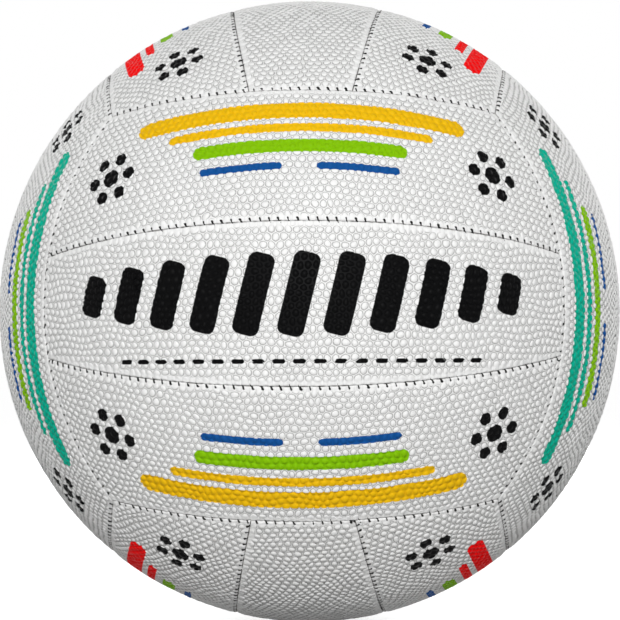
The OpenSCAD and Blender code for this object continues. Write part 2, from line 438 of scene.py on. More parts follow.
def uneven(directions):
    """The share of its height that each pimple keeps, so that some are lower than others."""
    x, y, z = (directions * BALL_R / MM).T
    quick, slow = (sum(np.sin(a * x + b * y + c * z) for a, b, c in waves)
                   for waves in (QUICK_WAVES, SLOW_WAVES))
    return np.clip(MEAN_RISE + QUICK_RISE * quick + SLOW_RISE * slow, *RISE_SPAN)


def surface_radius(directions, relief, sides):
    distance = side_distances(directions, sides).min(1)
    roll_r = roll_radius(directions, sides)
    into_roll = np.clip(roll_r - distance, 0, roll_r)
    roll = roll_r - np.sqrt(roll_r ** 2 - into_roll ** 2)
    pressed = PRESSED_SHARE + (1 - PRESSED_SHARE) * smooth_step(distance, *PRESSED)
    pressed = pressed * uneven(directions)
    dent = sum(stitch_dent(directions, seam) for seam, sign in sides)
    return GROUND_R + relief * pressed * PIMPLE_H - roll - dent


print("radius of the ground between the pimples in mm:", round(GROUND_R / MM, 2))

# %% [markdown]
# ## Wrapping and trimming a strip
# The flat sheet is laid on the ball along a strip's middle line. On the ball's surface each
# seam circle lies in a plane, so four bisects trim the sheet to the strip's outline. The
# rows of pimples are wavy on the real rubber and no pimple is quite round, so slow waves and
# small quick ones are added before wrapping.

# %% Lay the sheet on the ball
TRIM = 1.6 * MM
OUTER_CENTRE = (STRIP_EDGE + LONG_EDGE) / 2
# Each kind of wave: how far it moves a point, how many there are, and its radians per metre
WAVES = ((0.55 * MM / 2, 6, (180, 420)), (0.09 * MM, 4, (900, 2000)))


def strip_turn(base, outer):
    """The turn that takes the front's middle line to a strip's middle line."""
    return base @ turn(-math.degrees(OUTER_CENTRE), (1, 0, 0)) if outer else base


def to_ball(u, v, matrix):
    """Unit directions for places u along and v across a strip."""
    along, across = u / BALL_R, v / BALL_R
    local = np.stack((np.sin(along) * np.cos(across), -np.cos(along) * np.cos(across),
                      np.sin(across)), 1)
    return local @ matrix.T


def to_strip(directions, matrix):
    local = directions @ matrix
    return (np.arctan2(local[:, 0], -local[:, 1]) * BALL_R,
            np.arcsin(np.clip(local[:, 2], -1, 1)) * BALL_R)


def wavy(points, draw):
    u, v = points[:, 0].copy(), points[:, 1].copy()
    waves = [(size, *w) for size, count, span in WAVES for w in draw.uniform(*span, (count, 2))]
    for turn_no, (size, wave_u, wave_v) in enumerate(waves):
        turned = wave_u * u + wave_v * v * (-1) ** (turn_no // 2) + draw.uniform(0, 6.3)
        (u if turn_no % 2 else v)[:] += size * np.sin(turned)
    return u + draw.uniform(-1, 1) * PIMPLE_PITCH, v + draw.uniform(-1, 1) * PIMPLE_PITCH


def side_at(seam, sign, distance):
    """The polar angle of the circle that lies this far inside a side."""
    return seam["polar"] - sign * distance / BALL_R


def wrap_and_trim(name, matrix, sides, draw):
    sheet = sheets["across" if name.startswith(("top", "bottom")) else "along"]
    piece = own_copy(sheet, name)
    u, v = wavy(points_of(piece), draw)
    set_points(piece, to_ball(u, v, matrix) * GROUND_R)
    for seam, sign in sides:
        plane = seam["axis"] * GROUND_R * math.cos(side_at(seam, sign, TRIM))
        bisect(piece, plane, seam["axis"], sign > 0)
    return piece


print("an outer strip's middle line lies", round(math.degrees(OUTER_CENTRE), 1),
      "degrees from its face's")

# %% [markdown]
# ## Rolling the edge over
# A maker folds the rubber's rim inwards and sews through it. Here the trimmed edge is
# evened out, extruded row by row up to the seam line, then turned under and down, and the
# inside is filled and pushed out to a round shell, so that every strip is a closed piece.

# %% Points at a distance from the seams
EDGE_CLOSE = 0.09 * MM


def at_distance(directions, sides, old, new):
    """Points that lie on the edge at an old distance, moved to a new one."""
    away = side_distances(directions, sides)
    close = abs(away - old) < EDGE_CLOSE
    close[np.arange(len(away)), abs(away - old).argmin(1)] = True
    moved = directions.copy()
    for column, (seam, sign) in enumerate(sides):
        only = close[:, column] & (close.sum(1) == 1)
        axis, polar = seam["axis"], side_at(seam, sign, new)
        across = unit(moved[only] - (moved[only] @ axis)[:, None] * axis)
        moved[only] = math.cos(polar) * axis + math.sin(polar) * across
    for i in np.nonzero(close.sum(1) > 1)[0]:
        moved[i] = corner_point(directions[i], [sides[c] for c in np.nonzero(close[i])[0]], new)
    return moved


def corner_point(near, two_sides, distance):
    """The point at this distance from two sides at once."""
    (a, b), (ca, cb) = zip(*[(s["axis"], math.cos(side_at(s, sign, distance)))
                             for s, sign in two_sides][:2])
    g = a @ b
    x, y = (ca - g * cb) / (1 - g * g), (cb - g * ca) / (1 - g * g)
    normal = np.cross(a, b)
    z = math.sqrt(max(0, 1 - x * x - y * y - 2 * x * y * g)) / np.linalg.norm(normal)
    both = [x * a + y * b + sign * z * normal for sign in (1, -1)]
    return max(both, key=lambda p: p @ near)


# %% Even out a trimmed edge
SHORT_EDGE = 0.14 * MM
LONG_EDGE_PIECE = 0.5 * MM


def select_edges(piece, wanted):
    """Keeps selected only the boundary edges that wanted() accepts."""
    bpy.ops.mesh.select_all(action="DESELECT")
    mesh = bmesh.from_edit_mesh(piece.data)
    for e in mesh.edges:
        if e.is_boundary and wanted(e.calc_length()):
            e.select = True
    mesh.select_flush_mode()
    bmesh.update_edit_mesh(piece.data)


def place_selected(piece, place):
    """Moves the selected points to place(their positions)."""
    mesh = bmesh.from_edit_mesh(piece.data)
    chosen = [v for v in mesh.verts if v.select]
    for v, p in zip(chosen, place(np.array([v.co for v in chosen], float))):
        v.co = p
    bmesh.update_edit_mesh(piece.data)


def even_out_edge(piece, sides):
    edit(piece, "EDGE")
    select_edges(piece, lambda length: length < SHORT_EDGE)
    bpy.ops.mesh.merge(type="COLLAPSE")
    select_edges(piece, lambda length: length > LONG_EDGE_PIECE)
    bpy.ops.mesh.subdivide(number_cuts=1)
    select_edges(piece, lambda length: True)
    place_selected(piece, lambda p: at_distance(unit(p), sides, TRIM, TRIM) * GROUND_R)


# %% Roll the edge over and close the inside
EDGE_ROWS = np.array((1.36, 1.14, 0.94, 0.74, 0.54, 0.34, 0.16, 0.05)) * MM
TUCK = 0.5 * MM
TUCK_DEPTH = 1.0 * MM
STRIP_T = 2.6 * MM


def roll_edge(piece, sides):
    old = TRIM
    for new in EDGE_ROWS:
        bpy.ops.mesh.extrude_edges_move()
        place_selected(piece, lambda p: at_distance(unit(p), sides, old, new) * GROUND_R)
        old = new
    bpy.ops.object.mode_set(mode="OBJECT")


def close_inside(piece, sides):
    edge, inner = EDGE_ROWS[-1], BALL_R - STRIP_T
    edit(piece, "EDGE")
    bpy.ops.mesh.select_non_manifold(extend=False)
    bpy.ops.mesh.extrude_edges_move()
    place_selected(piece, lambda p: at_distance(unit(p), sides, edge, TUCK)
                   * (BALL_R - TUCK_DEPTH))
    bpy.ops.mesh.extrude_edges_move()
    place_selected(piece, lambda p: unit(p) * inner)
    bpy.ops.mesh.fill(use_beauty=True)
    bpy.ops.mesh.subdivide(number_cuts=1)
    place_selected(piece, lambda p: unit(p) * inner)
    bpy.ops.mesh.select_all(action="SELECT")
    bpy.ops.mesh.normals_make_consistent(inside=False)
    bpy.ops.object.mode_set(mode="OBJECT")


print("an edge is rolled over in", len(EDGE_ROWS), "rows and tucked", TUCK_DEPTH / MM, "mm down")

# %% [markdown]
# ## The print
# The cover is printed in flat inks: long bars of a first ink, green and blue and rosettes of
# dots on the outer strips, slanted bars and dashes on the front and back middle strips, and
# one rosette on the other four. The first ink is yellow, teal or red, by the face. The print
# could be an image, but then it would need a UV map and would blur close up. Instead each
# motif is the signed distance to its outline, stored at the points of the mesh, and a shader
# turns distance into a crisp edge, however coarse the mesh is.

# %% Outlines as signed distances, positive inside
def bar(u, v, centre, width, height, slant=0, rounding=0.5):
    """A bar with rounded ends that leans by slant. Rounding is a share of its short side."""
    x, y = u - centre[0], v - centre[1]
    c, s = math.cos(slant), math.sin(slant)
    across, along = abs(x * c - y * s), abs(x * s + y * c)
    round_r = min(width, height) * rounding
    dx, dy = across - width / 2 + round_r, along - height / 2 + round_r
    outside = np.hypot(np.maximum(dx, 0), np.maximum(dy, 0))
    return round_r - outside - np.minimum(np.maximum(dx, dy), 0)


def disc(u, v, centre, diameter):
    return diameter / 2 - np.hypot(u - centre[0], v - centre[1])


def union(*shapes):
    return np.maximum.reduce(shapes)


print("the middle of a 6 by 2 mm bar lies", bar(0, 0, (0, 0), 6 * MM, 2 * MM) / MM, "mm inside")

# %% The rosette and the print of an outer strip
DOT_D = 6.2 * MM
PETAL_D = 4.4 * MM
PETAL_AWAY = 7.2 * MM
PETALS = 6
ROSETTE_PLACES = ((-66 * MM, 1 * MM), (66 * MM, 1 * MM))
# The bars of each ink: a bar's middle along and across the strip, its length and its width
OUTER_BARS = {
    "ink_first": (((0, 15.4 * MM), 112 * MM, 6.4 * MM), ((0, 8.4 * MM), 88 * MM, 3.2 * MM)),
    "ink_green": (((0, 1.4 * MM), 70 * MM, 4.8 * MM),),
    "ink_blue": (((-19 * MM, -6 * MM), 27 * MM, 2.6 * MM),
                 ((19 * MM, -6 * MM), 27 * MM, 2.6 * MM)),
}


def rosette(u, v, centre):
    """One round dot with smaller ones round it."""
    angles = [2 * math.pi * k / PETALS for k in range(PETALS)]
    petals = [disc(u, v, (centre[0] + PETAL_AWAY * math.cos(a),
                          centre[1] + PETAL_AWAY * math.sin(a)), PETAL_D) for a in angles]
    return union(disc(u, v, centre, DOT_D), *petals)


def outer_print(u, v):
    drawn = {ink: union(*[bar(u, v, *row) for row in rows]) for ink, rows in OUTER_BARS.items()}
    drawn["ink_black"] = union(*[rosette(u, v, centre) for centre in ROSETTE_PLACES])
    return drawn


print("the outer strips are printed with", sorted(outer_print(0, 0)))

# %% The print of the middle strips
SLANTED = range(-5, 6)
SLANTED_STEP = 14.4 * MM
SLANTED_ACROSS = 3 * MM
SLANTED_WIDTH = 8.6 * MM
SLANTED_HEIGHT = 27 * MM
SHORTER_OUTWARDS = 0.55 * MM
SLANT = math.radians(14)
SLANTED_ROUNDING = 0.3
DASHES = range(-9, 10)
DASH_STEP = 6.6 * MM
DASH_ACROSS = -18.2 * MM
DASH_LENGTH = 4.2 * MM
DASH_WIDTH = 1.5 * MM


def middle_print(u, v):
    bars = [bar(u, v, (i * SLANTED_STEP, SLANTED_ACROSS), SLANTED_WIDTH,
                SLANTED_HEIGHT - SHORTER_OUTWARDS * i * i, SLANT, SLANTED_ROUNDING)
            for i in SLANTED]
    dashes = [bar(u, v, (i * DASH_STEP, DASH_ACROSS), DASH_LENGTH, DASH_WIDTH) for i in DASHES]
    return {"ink_black": union(*bars, *dashes)}


def plain_print(u, v):
    return {"ink_black": rosette(u, v, (0, 0))}


print("the front's middle strip has", len(SLANTED), "slanted bars and", len(DASHES), "dashes")

# %% Store the print on a strip
INK_NAMES = ("ink_first", "ink_green", "ink_blue", "ink_black")
FAR = -5 * MM


def add_print(piece, matrix, sides, pattern):
    directions = unit(points_of(piece))
    u, v = to_strip(directions, matrix)
    drawn = pattern(u, v)
    for name in INK_NAMES:
        distance = drawn.get(name, np.full(len(u), FAR))
        set_attribute(piece, name, np.maximum(distance, FAR) / MM)
    set_attribute(piece, "seam_gap", side_distances(directions, sides).min(1) / MM)


# %% [markdown]
# ## All eighteen strips
# The outer strips of a face are one shape, half a turn apart. The middle strip at the top
# has a moulded ring and a hole for the valve, cut with a Boolean modifier. The painted shade in
# the creases round the pimples fades near a seam, where the pimples are flatter.

# %% Shape a strip's surface
# Painted shade round each pimple's foot: the share it keeps at a seam, and where it fades in.
CREASE_SHADE_SHARE = 0.4
CREASE_SHADE_FADE = (1.3 * MM, 2.3 * MM)
VALVE_HOLE_R = 3.6 * MM
VALVE_HOLE_SIDES = 48
VALVE_CUT = 12 * MM
VALVE_RING_R = 5.0 * MM
VALVE_CLEAR_R = 7.2 * MM
VALVE_RING_H = 0.22 * MM
VALVE_FACE = "top"


def seam_with(axis):
    return max(seams, key=lambda s: s["axis"] @ axis)


def strip_sides(base, outer):
    """The four seams round a strip, with 1 where the strip lies on the axis's side."""
    if outer:
        sides = [(STRIP_AXIS, 1), (LONG_AXIS, -1)]
    else:
        sides = [(half @ STRIP_AXIS, -1) for half in HALF_TURNS]
    return [(seam_with(base @ axis), sign) for axis, sign in sides + [(a, 1) for a in END_AXES]]


def shape_surface(piece, sides, has_valve):
    directions = unit(points_of(piece))
    relief = get_attribute(piece, "relief")
    extra = 0
    if has_valve:
        from_valve = np.arccos(np.clip(directions[:, 2], -1, 1)) * BALL_R
        relief = relief * smooth_step(from_valve, VALVE_RING_R, VALVE_CLEAR_R)
        extra = VALVE_RING_H * np.exp(-((from_valve - VALVE_RING_R) / MM) ** 2)
    set_attribute(piece, "relief", relief)
    from_seam = side_distances(directions, sides).min(1)
    # The painted shade round the pimples' feet is weaker near a seam.
    set_attribute(piece, "crease_shade", get_attribute(piece, "crease_shade")
                  * (CREASE_SHADE_SHARE + (1 - CREASE_SHADE_SHARE) * smooth_step(from_seam, *CREASE_SHADE_FADE)))
    radius = surface_radius(directions, relief, sides) + extra
    set_points(piece, directions * radius[:, None])


def cut_valve_hole(piece):
    bpy.ops.object.select_all(action="DESELECT")
    bpy.ops.mesh.primitive_cylinder_add(vertices=VALVE_HOLE_SIDES, radius=VALVE_HOLE_R,
                                        depth=VALVE_CUT, location=(0, 0, BALL_R))
    cutter = bpy.context.object
    apply_modifier(piece, "BOOLEAN", operation="DIFFERENCE", object=cutter, solver="EXACT")
    bpy.data.objects.remove(cutter)


print("the seams round the front's middle strip are",
      [seam["name"] for seam, sign in strip_sides(FACES["front"], False)])

# %% Make the strips
SMOOTH_UNDER = math.radians(55)


def make_strip(name, base, outer, pattern, seed):
    draw = np.random.default_rng(seed)
    matrix, sides = strip_turn(base, outer), strip_sides(base, outer)
    piece = wrap_and_trim(name, matrix, sides, draw)
    even_out_edge(piece, sides)
    roll_edge(piece, sides)
    has_valve = name.startswith(VALVE_FACE) and not outer
    shape_surface(piece, sides, has_valve)
    close_inside(piece, sides)
    if has_valve:
        cut_valve_hole(piece)
    add_print(piece, matrix, sides, pattern)
    alone(piece)
    bpy.ops.object.shade_smooth_by_angle(angle=SMOOTH_UNDER)
    return piece


strips = {}
MIDDLE_PRINTS = {"front": middle_print, "back": middle_print}
for face, base_turn in FACES.items():
    for half, side_name in zip(HALF_TURNS, OUTER_NAMES[face]):
        strips[f"{face}_{side_name}"] = make_strip(
            f"{face}_{side_name}_cover", base_turn @ half, True, outer_print, len(strips))
    strips[f"{face}_middle"] = make_strip(
        f"{face}_middle_cover", base_turn, False, MIDDLE_PRINTS.get(face, plain_print),
        len(strips))
    print(face, "strips have", [sum(len(p.vertices) - 2 for p in strips[k].data.polygons)
                                for k in strips if k.startswith(face)], "triangles")
for sheet in sheets.values():
    bpy.data.objects.remove(sheet)
for key, piece in strips.items():
    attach(piece, "root")
    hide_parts(f"{key}_panel")

# %% [markdown]
# ## The lacing
# A waxed cord runs inside along each seam and comes up at every stitch: it shows at the
# needle hole on one side, dives into the joint and shows a little on the other side. A
# curve with a round bevel could be the cord, but 1,296 stitches would need as many. So one
# stitch is modelled flat, arrayed along the seam's length and laid on the seam's circle.
# The run inside is a disc that is spun round the seam's axis.

# %% One stitch
CORD_R = 0.31 * MM
CORD_SIDES = 6
STITCH_PATH = np.array((
    (-0.40, 1.18, -1.60), (-0.40, 1.16, -0.80), (-0.34, 0.94, -0.50), (-0.21, 0.56, -0.62),
    (-0.06, 0.18, -0.86), (0.10, -0.18, -0.98), (0.24, -0.56, -0.94), (0.34, -0.84, -1.02),
    (0.34, -0.92, -1.60),
)) * MM


def one_stitch():
    bpy.ops.object.select_all(action="DESELECT")
    bpy.ops.mesh.primitive_circle_add(vertices=CORD_SIDES, radius=CORD_R, fill_type="NGON",
                                      location=STITCH_PATH[0])
    stitch = bpy.context.object
    stitch.data.transform(stitch.matrix_world)
    stitch.matrix_world = Matrix.Identity(4)
    steps = np.diff(STITCH_PATH, axis=0)
    headings = np.vstack((steps[:1], (unit(steps[1:]) + unit(steps[:-1])), steps[-1:]))
    bpy.ops.object.mode_set(mode="EDIT")
    bpy.ops.mesh.select_all(action="SELECT")
    facing = Vector((0, 0, 1))
    for place, step, heading in zip(STITCH_PATH[1:], steps, headings[1:]):
        bpy.ops.mesh.extrude_region_move(TRANSFORM_OT_translate={"value": tuple(step)})
        bend = facing.rotation_difference(Vector(heading)).to_matrix()
        centre = Vector(place)
        place_selected(stitch, lambda p: [centre + bend @ (Vector(x) - centre) for x in p])
        facing = Vector(heading)
    bpy.ops.mesh.select_all(action="SELECT")
    bpy.ops.mesh.normals_make_consistent(inside=False)
    bpy.ops.object.mode_set(mode="OBJECT")
    return stitch


stitch = one_stitch()
print("a stitch has", len(stitch.data.polygons), "faces")

# %% Lay the stitches on a seam
USUAL_PULL = 0.8
PULLED_DOWN = 0.08 * MM


def lay_stitches(seam):
    row = own_copy(stitch, "stitches")
    each, count = len(stitch.data.vertices), len(seam["stitch"])
    apply_modifier(row, "ARRAY", count=count, use_relative_offset=False,
                   use_constant_offset=True, constant_offset_displace=(STITCH_PITCH, 0, 0))
    points = points_of(row)
    which = np.arange(len(points)) // each
    x = points[:, 0] - which * STITCH_PITCH
    s = seam["stitch"][which] + x + np.sign(x) * seam["lean"][which] * abs(x) / STITCH_LEAN
    lower = PULLED_DOWN * (seam["pull"][which] - USUAL_PULL)
    radius = BALL_R + points[:, 2] - lower
    set_points(row, on_seam(s, points[:, 1], seam) * radius[:, None])
    return row


# %% Spin the run inside a seam
RUN_R = 0.4 * MM
RUN_DEPTH = 1.4 * MM
RUN_SIDES = 8
RUN_STEPS = 40


def spin_run(seam):
    start = on_seam(np.array((-seam["reach"] + STITCH_MARGIN,)), np.zeros(1), seam)[0]
    heading = Vector(np.cross(seam["axis"], start)).normalized()
    bpy.ops.object.select_all(action="DESELECT")
    bpy.ops.mesh.primitive_circle_add(
        vertices=RUN_SIDES, radius=RUN_R, fill_type="NGON",
        location=start * (BALL_R - RUN_DEPTH),
        rotation=heading.to_track_quat("Z", "Y").to_euler())
    run = bpy.context.object
    run.data.transform(run.matrix_world)
    run.matrix_world = Matrix.Identity(4)
    bpy.ops.object.mode_set(mode="EDIT")
    bpy.ops.mesh.select_all(action="SELECT")
    sweep = 2 * (seam["reach"] - STITCH_MARGIN) / (math.sin(seam["polar"]) * BALL_R)
    bpy.ops.mesh.spin(steps=RUN_STEPS, angle=sweep, center=(0, 0, 0), axis=seam["axis"])
    bpy.ops.mesh.select_all(action="SELECT")
    bpy.ops.mesh.normals_make_consistent(inside=False)
    bpy.ops.object.mode_set(mode="OBJECT")
    return run


# %% Make every lacing piece
CORD_SMOOTH_UNDER = math.radians(50)


def make_lacing(name, its_seams):
    parts = [part for seam in its_seams for part in (spin_run(seam), lay_stitches(seam))]
    alone(parts[0])
    for part in parts:
        part.select_set(True)
    bpy.ops.object.join()
    lacing = bpy.context.object
    lacing.name = name
    bpy.ops.object.shade_smooth_by_angle(angle=CORD_SMOOTH_UNDER)
    return lacing


lacings = []
for face in FACES:
    strip_seams = [s for s in seams if s["name"].startswith(face) and s["name"].endswith("strip")]
    lacing = make_lacing(f"{face}_strip_lacing", strip_seams)
    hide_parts(f"{face}_strip_cords")
    lacings.append(lacing)
    for side_name in OUTER_NAMES[face]:
        edge_seam = [s for s in seams if s["name"] == f"{face}_{side_name}_edge"]
        lacing = make_lacing(f"{face}_{side_name}_edge_lacing", edge_seam)
        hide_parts(f"{face}_{side_name}_edge_cord")
        lacings.append(lacing)
bpy.data.objects.remove(stitch)
for lacing in lacings:
    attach(lacing, "root")
print(len(lacings), "lacing pieces,", sum(len(o.data.polygons) for o in lacings), "faces")

# %% [markdown]
# ## Materials
# Two effects are used in several finishes and are node groups. One gives the edge of a
# printed ink from a signed distance. The other gives the fine grain of moulded or woven
# stuff. The cover's rubber is off-white, with a painted shade round the foot of each pimple;
# it is greyer in the seams, where dust stays, and the inks lie on it a touch glossier. Its
# specular level is low, because rubber is dull and the white studio would veil the darker inks.

# %% Node helpers
def add_node(tree, kind, inputs=(), **settings):
    made = tree.nodes.new(kind)
    for key, value in settings.items():
        setattr(made, key, value)
    for key, value in dict(inputs).items():
        if isinstance(value, bpy.types.NodeSocket):
            tree.links.new(value, made.inputs[key])
        else:
            made.inputs[key].default_value = value
    return made


def new_group(name, inputs, outputs):
    group = bpy.data.node_groups.new(name, "ShaderNodeTree")
    for label, kind, default in inputs:
        socket = group.interface.new_socket(label, in_out="INPUT", socket_type=kind)
        socket.default_value = default
    for label, kind in outputs:
        group.interface.new_socket(label, in_out="OUTPUT", socket_type=kind)
    return group, group.nodes.new("NodeGroupInput"), group.nodes.new("NodeGroupOutput")


def new_material(name):
    material = bpy.data.materials.new(name)
    material.use_nodes = True
    tree = material.node_tree
    return material, tree, tree.nodes["Principled BSDF"]


def mix_colour(tree, factor, below, above, blend="MIX"):
    made = add_node(tree, "ShaderNodeMix", data_type="RGBA", blend_type=blend)
    for index, value in ((0, factor), (6, below), (7, above)):
        if isinstance(value, bpy.types.NodeSocket):
            tree.links.new(value, made.inputs[index])
        else:
            made.inputs[index].default_value = value
    return made.outputs[2]


# %% The edge of a printed ink, and fine grain
def ink_edge_group():
    group, inlet, outlet = new_group(
        "ink_edge", [("Distance", "NodeSocketFloat", -5.0), ("Ragged", "NodeSocketFloat", 0.08)],
        [("Mask", "NodeSocketFloat")])
    place = add_node(group, "ShaderNodeTexCoord")
    noise = add_node(group, "ShaderNodeTexNoise", {"Vector": place.outputs["Object"],
                                                   "Scale": 900.0, "Detail": 2.0})
    centred = add_node(group, "ShaderNodeMath", {0: noise.outputs["Fac"], 1: 0.5},
                       operation="SUBTRACT")
    ragged = add_node(group, "ShaderNodeMath", {0: centred.outputs[0],
                                                1: inlet.outputs["Ragged"],
                                                2: inlet.outputs["Distance"]},
                      operation="MULTIPLY_ADD")
    mask = add_node(group, "ShaderNodeMapRange", {"Value": ragged.outputs[0],
                                                  "From Min": -0.09, "From Max": 0.09},
                    interpolation_type="SMOOTHSTEP")
    group.links.new(mask.outputs["Result"], outlet.inputs["Mask"])
    return group


def grain_group():
    group, inlet, outlet = new_group(
        "fine_grain", [("Scale", "NodeSocketFloat", 2500.0), ("Blotch", "NodeSocketFloat", 90.0)],
        [("Grain", "NodeSocketFloat"), ("Blotches", "NodeSocketFloat")])
    place = add_node(group, "ShaderNodeTexCoord")
    for socket, output, detail in (("Scale", "Grain", 3.0), ("Blotch", "Blotches", 4.0)):
        noise = add_node(group, "ShaderNodeTexNoise",
                         {"Vector": place.outputs["Object"], "Scale": inlet.outputs[socket],
                          "Detail": detail, "Roughness": 0.6})
        group.links.new(noise.outputs["Fac"], outlet.inputs[output])
    return group


ink_edge = ink_edge_group()
fine_grain = grain_group()
print("node groups:", [group.name for group in (ink_edge, fine_grain)])

# %% Colours of the rubber and of the inks
RUBBER = (0.80, 0.80, 0.795, 1)
# A painted shade for the foot of each pimple, darker than the rubber.
CREASE_SHADE = (0.24, 0.24, 0.235, 1)
SEAM_DUST = (0.22, 0.21, 0.20, 1)
INKS = {
    "ink_green": (0.20, 0.45, 0.002, 1),
    "ink_blue": (0.006, 0.072, 0.26, 1),
    "ink_black": (0.001, 0.001, 0.0012, 1),
}
FIRST_INKS = {
    "yellow": (("front", "back"), (0.72, 0.43, 0.005, 1)),
    "teal": (("left", "right"), (0.002, 0.37, 0.25, 1)),
    "red": (("top", "bottom"), (0.80, 0.002, 0.003, 1)),
}
print("first inks:", {label: faces for label, (faces, ink) in FIRST_INKS.items()})

# %% The printed rubber of the cover
RUBBER_ROUGH = 0.6
INK_ROUGH = 0.46
RUBBER_SHINE = 0.05


def attribute(tree, name):
    return add_node(tree, "ShaderNodeAttribute", attribute_name=name).outputs["Fac"]


def cover_material(name, first_ink):
    material, tree, shader = new_material(name)
    grain = add_node(tree, "ShaderNodeGroup", node_tree=fine_grain)
    # Painted shade: the rubber darkens towards the shade colour round the foot of each pimple.
    crease_shade = add_node(tree, "ShaderNodeMath", {0: attribute(tree, "crease_shade"), 1: 2.0},
                      operation="POWER")
    colour = mix_colour(tree, crease_shade.outputs[0], RUBBER, CREASE_SHADE)
    blotch = add_node(tree, "ShaderNodeMapRange", {"Value": grain.outputs["Blotches"],
                                                   "From Min": 0.3, "From Max": 0.7,
                                                   "To Min": 0.95, "To Max": 1.0})
    colour = mix_colour(tree, 1.0, colour, blotch.outputs["Result"], "MULTIPLY")
    inked = 0.0
    for ink, paint in {"ink_first": first_ink, **INKS}.items():
        edge = add_node(tree, "ShaderNodeGroup", {"Distance": attribute(tree, ink)},
                        node_tree=ink_edge)
        colour = mix_colour(tree, edge.outputs["Mask"], colour, paint)
        inked = add_node(tree, "ShaderNodeMath", {0: inked, 1: edge.outputs["Mask"]},
                         operation="MAXIMUM").outputs[0]
    near_seam = add_node(tree, "ShaderNodeMapRange", {"Value": attribute(tree, "seam_gap"),
                                                      "From Min": 0.05, "From Max": 0.3,
                                                      "To Min": 1.0, "To Max": 0.0})
    place = add_node(tree, "ShaderNodeTexCoord")
    patchy = add_node(tree, "ShaderNodeTexNoise", {"Vector": place.outputs["Object"],
                                                   "Scale": 420.0, "Detail": 1.0})
    patchy = add_node(tree, "ShaderNodeMapRange", {"Value": patchy.outputs["Fac"],
                                                   "From Min": 0.42, "From Max": 0.58})
    dusty = add_node(tree, "ShaderNodeMath", {0: near_seam.outputs["Result"],
                                              1: patchy.outputs["Result"]},
                     operation="MULTIPLY")
    colour = mix_colour(tree, dusty.outputs[0], colour, SEAM_DUST)
    tree.links.new(colour, shader.inputs["Base Color"])
    shader.inputs["Specular IOR Level"].default_value = RUBBER_SHINE
    rough = add_node(tree, "ShaderNodeMapRange", {"Value": inked, "To Min": RUBBER_ROUGH,
                                                  "To Max": INK_ROUGH})
    rough = add_node(tree, "ShaderNodeMath", {0: grain.outputs["Blotches"], 1: 0.12,
                                              2: rough.outputs["Result"]},
                     operation="MULTIPLY_ADD")
    tree.links.new(rough.outputs[0], shader.inputs["Roughness"])
    bump = add_node(tree, "ShaderNodeBump", {"Height": grain.outputs["Grain"],
                                             "Strength": 0.25, "Distance": 0.05 * MM})
    tree.links.new(bump.outputs["Normal"], shader.inputs["Normal"])
    return material


# %% Give every strip its rubber
def give(piece, material):
    piece.data.materials.clear()
    piece.data.materials.append(material)


for label, (faces, first_ink) in FIRST_INKS.items():
    cover = cover_material(f"printed_rubber_{label}", first_ink)
    for key, piece in strips.items():
        if key.startswith(faces):
            give(piece, cover)
    print(cover.name, "is on the strips of", " and ".join(faces))

# %% [markdown]
# ## Cord, cloth and plain rubber
# The lacing is black waxed cord. Under the cover, strong cloth backs every strip, and the
# bladder, valve and patches are dark rubber, with a reddish core in the valve. One recipe
# makes them all: two colours and a height that follow fine grain, or the threads of a weave.

# %% Finishes of the cord and of the solids that stay
def grainy_material(name, dark, light, roughness, bump_mm, scale, blotch, weave=False):
    """A finish whose colour and height follow fine grain, or the threads of a weave."""
    material, tree, shader = new_material(name)
    grain = add_node(tree, "ShaderNodeGroup", {"Scale": scale, "Blotch": blotch},
                     node_tree=fine_grain)
    height = grain.outputs["Grain"]
    if weave:
        place = add_node(tree, "ShaderNodeTexCoord")
        threads = [add_node(tree, "ShaderNodeTexWave",
                            {"Vector": place.outputs["Object"], "Scale": scale / 12},
                            bands_direction=way).outputs["Fac"] for way in "XYZ"]
        height = add_node(tree, "ShaderNodeMath", {0: threads[0], 1: threads[1]},
                          operation="MULTIPLY").outputs[0]
        height = add_node(tree, "ShaderNodeMath", {0: height, 1: threads[2]},
                          operation="MAXIMUM").outputs[0]
    mixed = add_node(tree, "ShaderNodeMath", {0: grain.outputs["Blotches"], 1: height},
                     operation="MULTIPLY")
    spread = add_node(tree, "ShaderNodeMapRange", {"Value": mixed.outputs[0],
                                                   "From Min": 0.1, "From Max": 0.5})
    colour = mix_colour(tree, spread.outputs["Result"], dark, light)
    tree.links.new(colour, shader.inputs["Base Color"])
    rough = add_node(tree, "ShaderNodeMath", {0: grain.outputs["Blotches"], 1: 0.15,
                                              2: roughness - 0.07},
                     operation="MULTIPLY_ADD")
    tree.links.new(rough.outputs[0], shader.inputs["Roughness"])
    bump = add_node(tree, "ShaderNodeBump", {"Height": height, "Strength": 0.6,
                                             "Distance": bump_mm * MM})
    tree.links.new(bump.outputs["Normal"], shader.inputs["Normal"])
    return material


